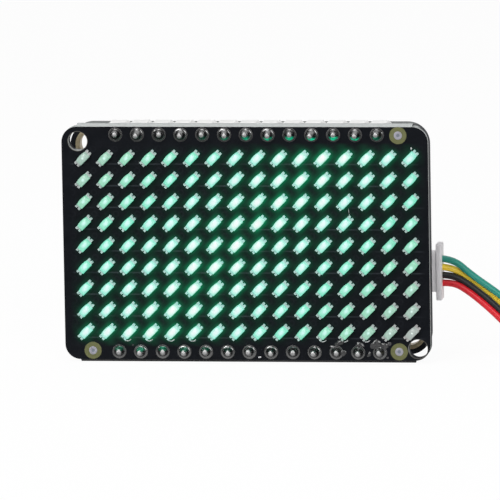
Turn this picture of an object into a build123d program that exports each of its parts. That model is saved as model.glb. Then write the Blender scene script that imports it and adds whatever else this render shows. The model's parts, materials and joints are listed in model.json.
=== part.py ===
"""A 16 by 9 LED matrix module, standing on its long edge.

An LED board and a driver board are held a header's height apart by two rows of pins.
A four-wire lead is plugged into the socket on the back of the driver board.
X is to the right, Y is to the back and Z is up. The lights face -Y. Sizes are in millimetres.
"""

import os
from math import cos, radians, sin, tan

from build123d import *

os.makedirs("parts", exist_ok=True)

# Both boards
board_t = 1.6
gap = 2.54  # between the boards, filled by the header strips
light_board_w = 42.7
light_board_h = 27.24
light_corner_r = 1.8
light_hole_r = 1.12
light_hole_in = (1.675, 1.535)  # from the sides and the long edges to a hole's middle
driver_board_w = 41.9
driver_inset = 0.09  # the driver board stops this far inside the light board's long edges
driver_corner_r = 2.54
driver_hole_r = 1.5
driver_hole_in = 2.54

# Score line along the long edges of the light board, left when it was snapped from its panel
score_out = 0.3
score_web = 0.6

# Lights
columns = 16
rows = 9
pitch = 2.54
grid_shift_x = 0.22  # the copper sits a little off the board's outline
grid_shift_z = -0.17
light_turn = 45
light_length = 2.1
light_width = 0.8
light_base_h = 0.25
light_lens_length = 1.55
light_lens_top = 1.4
light_lens_h = 0.35

# Header pins, strips and solder
pins_a_row = 13
pin_edge = 0.92  # from a long edge of the light board to the row of pins
pin_side = 0.64
pin_hole_r = 0.5
strip_w = 2.4
strip_notch = 0.5
solder_r = 0.78
solder_h = 1.0
solder_rim = 0.08
solder_tip_r = 0.34
few_sides = 8  # faces round each filled pin hole, solder joint and wire

# Driver chip and the small parts on the back
chip_side = 4.0
chip_h = 0.75
chip_leads_a_side = 7
chip_lead_pitch = 0.4
chip_lead_w = 0.2
chip_lead_out = 0.3
chip_lead_h = 0.2
small_length = 1.6
small_width = 0.8
capacitors = 3
capacitor_h = 0.8
resistors = 4
resistor_h = 0.45
small_row_out = 6.0  # from the chip's middle to the columns of small parts
small_pitch = 1.8

# Socket on the driver board, its mouth towards +X
wires = 4
wire_pitch = 1.0
wire_d = 0.8
plug_below_middle = 4.21
plug_out = 1.08  # the plug's end stands this far past the driver board's edge
socket_l = 4.15
socket_w = 6.0
socket_h = 2.95
socket_back_wall = 1.35
socket_lip = 0.7  # from the socket's mouth to the plug's flange
contact_t = 0.2
contact_foot = 0.95
contact_into_plug = 0.95
tab_l = 1.2
tab_out = 0.6
tab_up = 1.2

# Plugs on the lead
plug_flange_t = 0.97
plug_flange_w = 6.6
plug_flange_h = 2.4
plug_body_w = 4.66
plug_body_h = 2.0
plug_clearance = 0.07  # round the plug's body in the socket
plug_edge = 0.2
channel = 0.84
wire_in_plug = 1.2
crimp_w = 0.6

# Lead
stack_pitch = 0.86  # the wires lie on each other on the floor
stack_bottom = 0.42
wire_names = ("red", "black", "yellow", "green")
bend_share = 0.45  # of the shorter run beside a bend
far_plug_at = (38.0, -0.6)
tie_at = (50.0, 1.4)
tie_t = 0.3
tie_w = 1.5
tie_room = 0.08
tie_runs_apart = 1.2
tie_head = (1.4, 1.5, 1.3)

# Places worked out from the sizes above
mid_z = light_board_h / 2 + score_out
driver_board_h = light_board_h - 2 * driver_inset
pin_rows_apart = light_board_h - 2 * pin_edge
row_pitch = pin_rows_apart / (rows + 1)  # the rows of lights share out the room between the pins
light_holes_apart = (light_board_w - 2 * light_hole_in[0], light_board_h - 2 * light_hole_in[1])
driver_holes_apart = (driver_board_w - 2 * driver_hole_in, driver_board_h - 2 * driver_hole_in)
depth =solder_h + 2 * board_t + gap + socket_h
light_front_y = -depth / 2 + solder_h
light_back_y = light_front_y + board_t
driver_front_y = light_back_y + gap
driver_back_y = driver_front_y + board_t
grid_mid = (grid_shift_x, mid_z + grid_shift_z)
pin_row_z = {"top": mid_z + pin_rows_apart / 2, "bottom": mid_z - pin_rows_apart / 2}
plug_z = mid_z - plug_below_middle
plug_y = driver_back_y + socket_h / 2
plug_end_x = driver_board_w / 2 + plug_out
plug_flange_x = plug_end_x - plug_flange_t
socket_mouth_x = plug_flange_x - socket_lip
socket_back_x = socket_mouth_x - socket_l
cavity_back_x = socket_back_x + socket_back_wall
plug_nose_x = cavity_back_x + plug_clearance
plug_l = plug_end_x - plug_nose_x
contact_tip_x = plug_nose_x + contact_into_plug
wire_end_x = plug_end_x - wire_in_plug
wire_spots = [(0, (i - (wires - 1) / 2) * wire_pitch) for i in range(wires)]


def facing(y):
    """A plane at that depth that faces the viewer. Its sketch is in X and Z."""
    return Plane.XZ.offset(-y)


def backing(y):
    """A plane at that depth that faces the back. Its sketch is in -X and Z."""
    return Plane((0, y, 0), x_dir=(-1, 0, 0), z_dir=(0, 1, 0))


def write(solid, name):
    solid.label = name
    export_step(solid, f"parts/{name}.step")


def corner_pair(middle, apart):
    """An upper left and a lower right place, that far apart about a middle."""
    (x, z), (w, h) = middle, apart
    return [(x - w / 2, z + h / 2), (x + w / 2, z - h / 2)]


# Boards
def board(y_back, width, height, corner_r, hole_r, hole_spots):
    """A plate with rounded corners, two mounting holes and both rows of pin holes."""
    with BuildPart() as plate:
        with BuildSketch(facing(y_back)):
            with Locations((0, mid_z)):
                RectangleRounded(width, height, corner_r)
            with Locations(*hole_spots):
                Circle(hole_r, mode=Mode.SUBTRACT)
            with Locations((grid_shift_x, mid_z)):
                with GridLocations(pitch, pin_rows_apart, pins_a_row, 2):
                    RegularPolygon(pin_hole_r, few_sides, mode=Mode.SUBTRACT)
        extrude(amount=board_t)
    return plate.part


light_holes = corner_pair(grid_mid, light_holes_apart)
plain_light_board = board(
    light_back_y, light_board_w, light_board_h, light_corner_r, light_hole_r, light_holes
)
with BuildPart() as light_board:
    add(plain_light_board)
    score_slope = (board_t - score_web) / 2
    for side in (1, -1):
        edge_z = mid_z + side * light_board_h / 2
        with BuildSketch(Plane.YZ) as score:
            with BuildLine():
                Polyline(
                    (light_front_y, edge_z),
                    (light_front_y + score_slope, edge_z + side * score_out),
                    (light_back_y - score_slope, edge_z + side * score_out),
                    (light_back_y, edge_z),
                    close=True,
                )
            make_face()
        extrude(amount=light_board_w / 2 - light_corner_r, both=True)
write(light_board.part, "light_board")

driver_holes = corner_pair((0, mid_z), driver_holes_apart)
driver_board = board(
    driver_back_y, driver_board_w, driver_board_h, driver_corner_r, driver_hole_r, driver_holes
)
write(driver_board, "driver_board")

# Lights, each a chip with its lens moulded on, in rows from the top
along = (cos(radians(light_turn)), 0, sin(radians(light_turn)))
across = (sin(radians(light_turn)), 0, -cos(radians(light_turn)))
with BuildPart() as light:
    with BuildSketch(Plane((0, light_front_y, 0), x_dir=along, z_dir=across)) as light_side:
        with BuildLine():
            Polyline(
                (-light_length / 2, 0),
                (light_length / 2, 0),
                (light_length / 2, light_base_h),
                (light_lens_length / 2, light_base_h),
                (light_lens_top / 2, light_base_h + light_lens_h),
                (-light_lens_top / 2, light_base_h + light_lens_h),
                (-light_lens_length / 2, light_base_h),
                (-light_length / 2, light_base_h),
                close=True,
            )
        make_face()
    extrude(amount=light_width / 2, both=True)

for row in range(rows):
    row_z = grid_mid[1] + ((rows - 1) / 2 - row) * row_pitch
    spots = [(grid_mid[0] + (i - (columns - 1) / 2) * pitch, 0, row_z) for i in range(columns)]
    with BuildPart() as light_row:
        with Locations(*spots):
            add(light.part)
    write(light_row.part, f"light_row_{row + 1}")

# Solder joint, a cone that climbs its pin from a thin rim
with BuildPart() as joint:
    with BuildSketch():
        RegularPolygon(solder_r, few_sides)
    extrude(amount=solder_h)
    top = joint.faces().sort_by(Axis.Z)[-1]
    flat_share = cos(radians(180 / few_sides))  # from the corners to the flats
    chamfer(top.edges(), (solder_r - solder_tip_r) * flat_share, solder_h - solder_rim, reference=top)

# Header strips, pins and their solder joints
for place, z in pin_row_z.items():
    with BuildPart() as strip:
        with BuildSketch(facing(driver_front_y)):
            with Locations((grid_shift_x, z)):
                Rectangle(pins_a_row * pitch, strip_w)
                with GridLocations(pitch, strip_w, pins_a_row + 1, 2):
                    Rectangle(strip_notch, strip_notch, rotation=45, mode=Mode.SUBTRACT)
                with GridLocations(pitch, 0, pins_a_row, 1):
                    Rectangle(pin_side, pin_side, mode=Mode.SUBTRACT)
        extrude(amount=gap)
    write(strip.part, f"header_strip_{place}")

    with BuildPart() as pins:
        with BuildSketch(facing(driver_back_y)):
            with Locations((grid_shift_x, z)):
                with GridLocations(pitch, 0, pins_a_row, 1):
                    Rectangle(pin_side, pin_side)
        extrude(amount=gap + 2 * board_t)
    write(pins.part, f"header_pins_{place}")

    for side, plane, x in (
        ("front", facing(light_front_y), grid_shift_x),
        ("back", backing(driver_back_y), -grid_shift_x),
    ):
        with BuildPart(plane) as solder:
            with Locations((x, z)):
                with GridLocations(pitch, 0, pins_a_row, 1):
                    add(joint.part)
        write(solder.part, f"{side}_solder_{place}")

# Driver chip, its soldered leads, capacitors and resistors
with BuildPart() as chip:
    with BuildSketch(backing(driver_back_y)):
        with Locations((0, mid_z)):
            Rectangle(chip_side, chip_side)
    extrude(amount=chip_h)
write(chip.part, "driver_chip")

with BuildPart() as chip_leads:
    lead_rows = chip_side + chip_lead_out
    with BuildSketch(backing(driver_back_y)):
        with Locations((0, mid_z)):
            with GridLocations(lead_rows, chip_lead_pitch, 2, chip_leads_a_side):
                Rectangle(chip_lead_out, chip_lead_w)
            with GridLocations(chip_lead_pitch, lead_rows, chip_leads_a_side, 2):
                Rectangle(chip_lead_w, chip_lead_out)
    extrude(amount=chip_lead_h)
write(chip_leads.part, "driver_chip_leads")

for name, side, count, height in (
    ("capacitors", 1, capacitors, capacitor_h),
    ("resistors", -1, resistors, resistor_h),
):
    with BuildPart() as small_parts:
        with BuildSketch(backing(driver_back_y)):
            with Locations((side * small_row_out, mid_z)):
                with GridLocations(0, small_pitch, 1, count):
                    Rectangle(small_length, small_width)
        extrude(amount=height)
    write(small_parts.part, name)

# Socket: a moulded shell, four contacts and two anchor tabs soldered to the board
cavity_w = plug_body_w + 2 * plug_clearance
cavity_h = plug_body_h + 2 * plug_clearance
with BuildPart() as socket:
    with BuildSketch(Plane.YZ.offset(socket_back_x)):
        with Locations((plug_y, plug_z)):
            Rectangle(socket_h, socket_w)
    extrude(amount=socket_l)
    with BuildSketch(Plane.YZ.offset(cavity_back_x)):
        with Locations((plug_y, plug_z)):
            Rectangle(cavity_h, cavity_w)
    extrude(amount=socket_l, mode=Mode.SUBTRACT)
    with BuildSketch(Plane.YZ.offset(socket_back_x)):
        with Locations((plug_y, plug_z)):
            with Locations(*wire_spots):
                Rectangle(contact_t, contact_t)
    extrude(amount=socket_back_wall, mode=Mode.SUBTRACT)
write(socket.part, "socket_shell")

with BuildPart() as contacts:
    riser_x = socket_back_x - contact_t
    foot_x = riser_x - contact_foot
    with BuildSketch(Plane.XY.offset(plug_z)) as contact_side:
        with BuildLine():
            Polyline(
                (foot_x, driver_back_y),
                (socket_back_x, driver_back_y),
                (socket_back_x, plug_y - contact_t / 2),
                (contact_tip_x, plug_y - contact_t / 2),
                (contact_tip_x, plug_y + contact_t / 2),
                (riser_x, plug_y + contact_t / 2),
                (riser_x, driver_back_y + contact_t),
                (foot_x, driver_back_y + contact_t),
                close=True,
            )
        make_face()
    contact = extrude(amount=contact_t / 2, both=True, mode=Mode.PRIVATE)
    with Locations(*[(0, 0, z) for _, z in wire_spots]):
        add(contact)
write(contacts.part, "socket_contacts")

with BuildPart() as tabs:
    tab_x = (socket_back_x + socket_mouth_x - tab_l) / 2
    for side in (1, -1):
        wall_z = plug_z + side * socket_w / 2
        with BuildSketch(Plane.YZ.offset(tab_x)) as tab_end:
            with BuildLine():
                Polyline(
                    (driver_back_y, wall_z),
                    (driver_back_y, wall_z + side * tab_out),
                    (driver_back_y + contact_t, wall_z + side * tab_out),
                    (driver_back_y + contact_t, wall_z + side * contact_t),
                    (driver_back_y + tab_up, wall_z + side * contact_t),
                    (driver_back_y + tab_up, wall_z),
                    close=True,
                )
            make_face()
        extrude(amount=tab_l)
write(tabs.part, "socket_tabs")


# Plugs: the one in the socket, and the one on the far end, which stands on the floor on its edge.
# Each has a channel through it for each wire and its crimped contact.
far_plug_spot = (far_plug_at[0], far_plug_at[1], plug_flange_w / 2)
for name, (end_x, y, z) in (("near", (plug_end_x, plug_y, plug_z)), ("far", far_plug_spot)):
    nose_x = end_x - plug_l
    with BuildPart() as plug:
        with BuildSketch(Plane.YZ.offset(nose_x)):
            with Locations((y, z)):
                Rectangle(plug_body_h, plug_body_w)
        extrude(amount=plug_l)
        with BuildSketch(Plane.YZ.offset(end_x - plug_flange_t)) as plug_end:
            with Locations((y, z)):
                Rectangle(plug_flange_h, plug_flange_w)
            chamfer(plug_end.vertices(), plug_edge)
        extrude(amount=plug_flange_t)
        with BuildSketch(Plane.YZ.offset(nose_x)):
            with Locations((y, z)):
                with Locations(*wire_spots):
                    Rectangle(channel, channel)
        extrude(amount=plug_l, mode=Mode.SUBTRACT)
    write(plug.part, f"{name}_plug")

    with BuildPart() as crimps:
        with BuildSketch(Plane.YZ.offset(nose_x + contact_into_plug)):
            with Locations((y, z)):
                with Locations(*wire_spots):
                    Rectangle(crimp_w, channel)
        extrude(amount=plug_l - contact_into_plug - wire_in_plug)
    write(crimps.part, f"{name}_plug_crimps")

# Wires from the plug down to the floor, each as its X, its step back and its Z
drops = {
    "red": [(23.0, 0, 8.21), (25.2, 0, 7.25), (28.4, 0, 4.2), (32.0, 0, 1.55)],
    "black": [(23.0, 0, 9.21), (25.2, 0, 8.4), (28.4, 0, 5.5), (32.0, 0, 2.6)],
    "yellow": [(22.9, 0, 10.21), (25.0, 0.85, 9.15), (28.5, 0.9, 6.25), (32.1, 0.5, 3.5)],
    "green": [(23.1, 0, 11.21), (25.4, -0.15, 9.7), (28.6, -0.1, 7.0), (32.3, 0, 4.4)],
}
# The folded length beyond, in X and Y: out past the tie, round the loop and back to the far plug
floor_run = [(37.0, 2.9), (43.0, 2.15)]
hank = [(50.0, 1.87), (57.0, 2.5), (63.5, 3.6), (68.3, 4.55)]
hank += [(72.57, 4.65), (74.53, 3.52), (75.3, 1.4), (74.53, -0.72), (72.57, -1.85)]
hank += [(68.2, -1.6), (62.5, -0.75), (56.5, 0.4), (50.0, 0.93)]
hank += [(44.5, 0.2), (41.2, -0.42), (39.2, -0.6), far_plug_at]


def bends(points):
    """The radius at each corner of a route, as large as its two runs allow."""
    turns = []
    for before, here, after in zip(points, points[1:], points[2:]):
        into, out = Vector(here) - Vector(before), Vector(after) - Vector(here)
        half_turn = radians(into.get_angle(out)) / 2
        turns.append(bend_share * min(into.length, out.length) / tan(half_turn))
    return turns


join = tuple((a + b) / 2 for a, b in zip(*floor_run))
for i, name in enumerate(wire_names):
    wire_z = plug_z + wire_spots[i][1]
    floor_z = stack_bottom + i * stack_pitch
    points = [(wire_end_x, plug_y, wire_z)]
    points += [(x, plug_y + back, z) for x, back, z in drops[name]]
    points += [(*floor_run[0], floor_z), (*join, floor_z)]
    with BuildPart() as wire:
        with BuildLine() as wire_path:
            FilletPolyline(*points, radius=bends(points))
        with BuildSketch(Plane.YZ.offset(wire_end_x)) as wire_section:
            with Locations((plug_y, wire_z)):
                RegularPolygon(wire_d / 2, few_sides)
        sweep()
    print("wire", name, "radii", [round(r, 1) for r in bends(points)])
    wire_length = sum(edge.length for edge in wire_path.edges())
    print("  volume over section times length", wire.part.volume / wire_section.sketch.area / wire_length)
    write(wire.part, f"wire_{name}")

stack_h = stack_bottom + (wires - 1) * stack_pitch + wire_d / 2
hank_points = [(*p, stack_h / 2) for p in [join, floor_run[1], *hank]]
with BuildPart() as lead_hank:
    with BuildLine() as hank_path:
        FilletPolyline(*hank_points, radius=bends(hank_points))
    hank_run = Vector(hank_points[1]) - Vector(hank_points[0])
    with BuildSketch(Plane(hank_points[0], x_dir=(0, 0, 1), z_dir=hank_run)) as hank_section:
        Rectangle(stack_h, wire_d)
    sweep()
    with BuildSketch(Plane.XY):
        with Locations(tie_at):
            Rectangle(tie_w, tie_runs_apart + 2 * wire_d)
    extrude(amount=tie_t, mode=Mode.SUBTRACT)
hank_length = sum(edge.length for edge in hank_path.edges())
print("hank radii", [round(r, 1) for r in bends(hank_points)], "length", hank_length)
print("  volume over section times length", lead_hank.part.volume / hank_section.sketch.area / hank_length)
write(lead_hank.part, "lead_hank")

# Tie round both runs of the folded lead
with BuildPart() as tie:
    tie_inner_w = tie_runs_apart + wire_d + 2 * tie_room
    tie_inner_h = stack_h + tie_t + tie_room
    with BuildSketch(Plane.YZ.offset(tie_at[0] - tie_w / 2)):
        with Locations((tie_at[1], tie_t + tie_inner_h / 2)):
            Rectangle(tie_inner_w + 2 * tie_t, tie_inner_h + 2 * tie_t)
            Rectangle(tie_inner_w, tie_inner_h, mode=Mode.SUBTRACT)
    extrude(amount=tie_w)
    with BuildSketch(Plane.XY.offset(tie_inner_h + 2 * tie_t)):
        with Locations(tie_at):
            Rectangle(tie_head[0], tie_head[1])
    extrude(amount=tie_head[2])
write(tie.part, "lead_tie")
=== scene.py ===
"""A 16 by 9 LED matrix module with its lead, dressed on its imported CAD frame.

It stands on its long edge on a pale floor, with its lights to the viewer, who looks along +Y.
"""

import json
from math import cos, radians, sin, sqrt

import bmesh
import bpy
from mathutils import Matrix, Vector


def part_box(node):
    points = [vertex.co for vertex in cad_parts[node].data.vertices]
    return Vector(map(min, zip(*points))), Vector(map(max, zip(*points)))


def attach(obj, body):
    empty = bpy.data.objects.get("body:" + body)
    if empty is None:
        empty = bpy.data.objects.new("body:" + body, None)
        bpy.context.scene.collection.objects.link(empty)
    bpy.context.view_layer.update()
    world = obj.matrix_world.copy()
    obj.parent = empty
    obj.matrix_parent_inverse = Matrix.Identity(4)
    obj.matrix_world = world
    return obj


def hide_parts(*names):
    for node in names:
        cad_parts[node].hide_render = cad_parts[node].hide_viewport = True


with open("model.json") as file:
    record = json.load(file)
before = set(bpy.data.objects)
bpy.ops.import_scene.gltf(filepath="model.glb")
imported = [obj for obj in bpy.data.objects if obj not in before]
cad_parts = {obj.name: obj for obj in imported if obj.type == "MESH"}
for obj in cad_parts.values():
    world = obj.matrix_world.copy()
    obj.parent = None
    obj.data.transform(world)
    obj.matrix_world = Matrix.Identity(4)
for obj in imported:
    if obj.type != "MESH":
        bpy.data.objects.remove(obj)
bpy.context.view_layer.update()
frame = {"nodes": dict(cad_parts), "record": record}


# Camera. It stands a metre off, a little to the right and a little above, behind a long lens,
# so that the edges of the boards stay parallel. A slight roll shares out the lean of the rows.
def set_down(name, data):
    """A new object in the scene."""
    made = bpy.data.objects.new(name, data)
    bpy.context.scene.collection.objects.link(made)
    return made


mm = 0.001
board_low, board_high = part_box("light_board")
light_face = board_low.y / mm
boards_mid = (board_low.z + board_high.z) / 2 / mm
view_azimuth = radians(8.02)
view_elevation = radians(8.44)
view_roll = radians(0.98)
view_distance = 1.0
aim_right = 0.494 * mm
aim_up = -0.735 * mm
toward_camera = Vector((
    sin(view_azimuth) * cos(view_elevation),
    -cos(view_azimuth) * cos(view_elevation),
    sin(view_elevation),
))
level_right = Vector((cos(view_azimuth), sin(view_azimuth), 0))
level_up = toward_camera.cross(level_right)
camera_right = level_right * cos(view_roll) - level_up * sin(view_roll)
camera_up = level_up * cos(view_roll) + level_right * sin(view_roll)
aim = Vector((0, light_face, boards_mid)) * mm + aim_right * camera_right + aim_up * camera_up
camera = set_down("camera", bpy.data.cameras.new("camera"))
camera.data.sensor_width = 36
camera.data.lens = 622.7
turned = Matrix((camera_right, camera_up, toward_camera)).transposed().to_4x4()
camera.matrix_world = Matrix.Translation(aim + view_distance * toward_camera) @ turned
bpy.context.scene.camera = camera
bpy.context.scene.view_settings.view_transform = "Standard"


# Studio. A white table under soft lamps, with white behind and a darker room in front,
# which is what bright metal shows. The camera itself sees plain white all round.
def add_node(tree, kind, inputs=None, **settings):
    """A node with its settings, and its inputs set or linked."""
    made = tree.nodes.new(kind)
    for name, value in settings.items():
        setattr(made, name, value)
    for socket, value in (inputs or {}).items():
        if isinstance(value, bpy.types.NodeSocket):
            tree.links.new(value, made.inputs[socket])
        else:
            made.inputs[socket].default_value = value
    return made


def work_out(tree, operation, *values, clamp=False):
    """One step of arithmetic on values or sockets."""
    step = add_node(tree, "ShaderNodeMath", dict(enumerate(values)), operation=operation, use_clamp=clamp)
    return step.outputs[0]


def parts_of(tree, vector):
    """The X, Y and Z of a vector."""
    return add_node(tree, "ShaderNodeSeparateXYZ", {0: vector}).outputs


def graded(tree, value, start, end, low, high):
    """A value that goes evenly from low, at the start, to high, at the end."""
    inputs = {0: value, 1: start, 2: end, 3: low, 4: high}
    return add_node(tree, "ShaderNodeMapRange", inputs).outputs[0]


def seen_white(tree):
    """What kind of ray comes, and whether it is from the camera, a mirror or glass."""
    rays = add_node(tree, "ShaderNodeLightPath").outputs
    seen = work_out(tree, "MAXIMUM", rays["Is Camera Ray"], rays["Is Glossy Ray"])
    return rays, work_out(tree, "MAXIMUM", seen, rays["Is Transmission Ray"])


def as_mesh(bm, name):
    """Ends a shape and keeps it as a mesh."""
    mesh = bpy.data.meshes.new(name)
    bm.to_mesh(mesh)
    bm.free()
    return mesh


world = bpy.data.worlds.new("studio")
world.use_nodes = True
bpy.context.scene.world = world
tree = world.node_tree
tree.nodes.clear()
rays, seen = seen_white(tree)
way = parts_of(tree, add_node(tree, "ShaderNodeTexCoord").outputs["Generated"])
room = graded(tree, way["Y"], -0.08, 0.25, 0.03, 1.0)
soft_light = work_out(tree, "MULTIPLY", room, 0.5)
shown = add_node(tree, "ShaderNodeMix", {0: seen, 2: soft_light, 3: room}).outputs[0]
white = work_out(tree, "MAXIMUM", shown, rays["Is Camera Ray"])
sky = add_node(tree, "ShaderNodeBackground", {"Color": (1, 1, 1, 1), "Strength": white})
tree.links.new(sky.outputs[0], add_node(tree, "ShaderNodeOutputWorld").inputs[0])

table_white = bpy.data.materials.new("table white")
table_white.use_nodes = True
tree = table_white.node_tree
tree.nodes.clear()
rays, seen = seen_white(tree)
paint = add_node(tree, "ShaderNodeBsdfDiffuse", {"Color": (0.86, 0.86, 0.86, 1)})
spot = parts_of(tree, add_node(tree, "ShaderNodeTexCoord").outputs["Object"])
behind = graded(tree, spot["Y"], -0.02, 0.01, 0.1, 1.0)
bright = work_out(tree, "MAXIMUM", behind, rays["Is Camera Ray"])
glow = add_node(tree, "ShaderNodeEmission", {"Color": (1, 1, 1, 1), "Strength": bright})
share = work_out(tree, "MULTIPLY", seen, 0.95)
surface = add_node(tree, "ShaderNodeMixShader", {0: share, 1: paint.outputs[0], 2: glow.outputs[0]})
tree.links.new(surface.outputs[0], add_node(tree, "ShaderNodeOutputMaterial").inputs[0])
table_top = bmesh.new()
bmesh.ops.create_grid(table_top, x_segments=1, y_segments=1, size=6)
table = set_down("table", as_mesh(table_top, "table"))
table.data.materials.append(table_white)

for name, place, side, watts in (
    ("lamp_above", (-0.10, -0.16, 0.62), 0.45, 2.2),
    ("lamp_front_left", (-0.35, -0.72, 0.40), 0.40, 4.0),
    ("lamp_front_right", (0.40, -0.70, 0.30), 0.40, 2.5),
):
    lamp = set_down(name, bpy.data.lights.new(name, "AREA"))
    lamp.data.size = side
    lamp.data.energy = watts
    to_module = Vector((0, 0, boards_mid * mm)) - Vector(place)
    lamp.matrix_world = Matrix.Translation(place) @ to_module.to_track_quat("-Z", "Y").to_matrix().to_4x4()


# Light board. A circuit board under black solder mask, with its copper showing through as low relief.
# It was snapped from a panel along both long edges, and the cut shows the pale glass laminate.
def new_group(name, puts_in, puts_out):
    """An empty shader group with named sockets, each a name and a kind."""
    tree = bpy.data.node_groups.new(name, "ShaderNodeTree")
    for socket, kind in puts_in:
        tree.interface.new_socket(socket, in_out="INPUT", socket_type=f"NodeSocket{kind}")
    for socket, kind in puts_out:
        tree.interface.new_socket(socket, in_out="OUTPUT", socket_type=f"NodeSocket{kind}")
    return tree, tree.nodes.new("NodeGroupInput").outputs, tree.nodes.new("NodeGroupOutput").inputs


def use_group(tree, group, inputs=None):
    """What a group puts out, placed in a material."""
    return add_node(tree, "ShaderNodeGroup", inputs, node_tree=group).outputs


def new_finish(name, **sockets):
    """A material, its nodes and its shader, with the shader's plain values set."""
    material = bpy.data.materials.new(name)
    material.use_nodes = True
    shader = material.node_tree.nodes["Principled BSDF"]
    for socket, value in sockets.items():
        shader.inputs[socket.replace("_", " ")].default_value = value
    return material, material.node_tree, shader


def dress(node, finish):
    """Gives a CAD node its finish."""
    frame["nodes"][node].data.materials[0] = finish


def in_millimetres(tree):
    """The place on the module, in millimetres."""
    spot = add_node(tree, "ShaderNodeTexCoord").outputs["Object"]
    scaled = add_node(tree, "ShaderNodeVectorMath", {0: spot, "Scale": 1000.0}, operation="SCALE")
    return scaled.outputs[0]


def facing(tree):
    """The way that the surface faces, as X, Y and Z."""
    return parts_of(tree, add_node(tree, "ShaderNodeNewGeometry").outputs["Normal"])


def noise(tree, place, scale, detail=3.0):
    """An uneven value that changes over a place."""
    inputs = {"Vector": place, "Scale": scale, "Detail": detail}
    return add_node(tree, "ShaderNodeTexNoise", inputs).outputs[0]


def mix_colour(tree, share, low, high):
    """Two colours mixed by a share."""
    mixed = add_node(tree, "ShaderNodeMix", {0: share, 6: low, 7: high}, data_type="RGBA")
    return mixed.outputs[2]


def product(tree, first, *others):
    """Values multiplied together."""
    for other in others:
        first = work_out(tree, "MULTIPLY", first, other)
    return first


def length_of(tree, a, b):
    """The length of a step that goes a one way and b the other."""
    return work_out(tree, "SQRT", work_out(tree, "MULTIPLY_ADD", a, a, work_out(tree, "MULTIPLY", b, b)))


def repeated(tree, value, step):
    """A value counted from the nearest of evenly stepped lines."""
    return work_out(tree, "WRAP", value, step / 2, -step / 2)


def ramp_down(tree, value, start, end):
    """1 up to the start, falling smoothly to 0 at the end."""
    inputs = {0: value, 1: start, 2: end, 3: 1.0, 4: 0.0}
    return add_node(tree, "ShaderNodeMapRange", inputs, interpolation_type="SMOOTHSTEP").outputs[0]


def within(tree, value, start, end):
    """1 near zero on either side, falling smoothly to 0 from the start to the end."""
    return ramp_down(tree, work_out(tree, "ABSOLUTE", value), start, end)


def far_from(tree, place, x, z):
    """How far a place on a board's face is from a point of it, in millimetres."""
    flat = add_node(tree, "ShaderNodeVectorMath", {0: place, 1: (1, 0, 1)}, operation="MULTIPLY")
    gap = add_node(tree, "ShaderNodeVectorMath", {0: flat.outputs[0], 1: (x, 0, z)}, operation="DISTANCE")
    return gap.outputs["Value"]


def bumped(tree, shader, height, strength, distance):
    """The shader's surface raised by a height."""
    inputs = {"Height": height, "Strength": strength, "Distance": distance}
    tree.links.new(add_node(tree, "ShaderNodeBump", inputs).outputs[0], shader.inputs["Normal"])


def raise_copper(tree, shader, copper, grain, strength):
    """Copper as low relief under the mask, with the mask's own grain over it."""
    height = work_out(tree, "MULTIPLY_ADD", copper, 0.8, work_out(tree, "MULTIPLY", grain, 0.25))
    bumped(tree, shader, height, strength, 0.03 * mm)


def holes_of(board):
    """Where a board's mounting holes are, across and up, in millimetres."""
    spots = [mount["pos_m"] for mount in frame["record"]["mounts"] if mount["name"].startswith(board)]
    return [(x / mm, z / mm) for x, y, z in spots]


# Where the lights are: along and across the nearest light, and how brightly it is driven.
# They are lit as a band of light that runs up the board to the right.
pitch = 2.54
rows = 9
columns = 16
grid_mid = (0.22, 13.75)
diagonal = pitch / sqrt(2)
brightest_line = -1.0
dark_after = 12.0
light_places, taken, given = new_group(
    "light places", [], [("Along", "Float"), ("Across", "Float"), ("Level", "Float")]
)
tree = light_places
spot = parts_of(tree, in_millimetres(tree))
x = work_out(tree, "SUBTRACT", spot["X"], grid_mid[0] + pitch / 2)
z = work_out(tree, "SUBTRACT", spot["Z"], grid_mid[1])
along = work_out(tree, "MULTIPLY", work_out(tree, "ADD", x, z), 1 / sqrt(2))
across = work_out(tree, "MULTIPLY", work_out(tree, "SUBTRACT", x, z), 1 / sqrt(2))
line = work_out(tree, "ROUND", work_out(tree, "DIVIDE", across, diagonal))
line_at = work_out(tree, "MULTIPLY", line, diagonal)
near_along = repeated(tree, work_out(tree, "SUBTRACT", along, line_at), 2 * diagonal)
tree.links.new(near_along, given["Along"])
tree.links.new(work_out(tree, "SUBTRACT", across, line_at), given["Across"])
lines_off = work_out(tree, "ABSOLUTE", work_out(tree, "SUBTRACT", line, brightest_line))
level = work_out(tree, "SUBTRACT", 1.0, work_out(tree, "DIVIDE", lines_off, dark_after), clamp=True)
tree.links.new(level, given["Level"])

glow_half = 0.45
glow_fade = -3.6
spill, taken, given = new_group(
    "light spill", [("Along", "Float"), ("Across", "Float")], [("Spill", "Float")]
)
tree = spill
past_end = work_out(tree, "SUBTRACT", work_out(tree, "ABSOLUTE", taken["Along"]), glow_half)
off = length_of(tree, work_out(tree, "MAXIMUM", past_end, 0.0), taken["Across"])
tree.links.new(work_out(tree, "EXPONENT", work_out(tree, "MULTIPLY", off, glow_fade)), given["Spill"])

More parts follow.
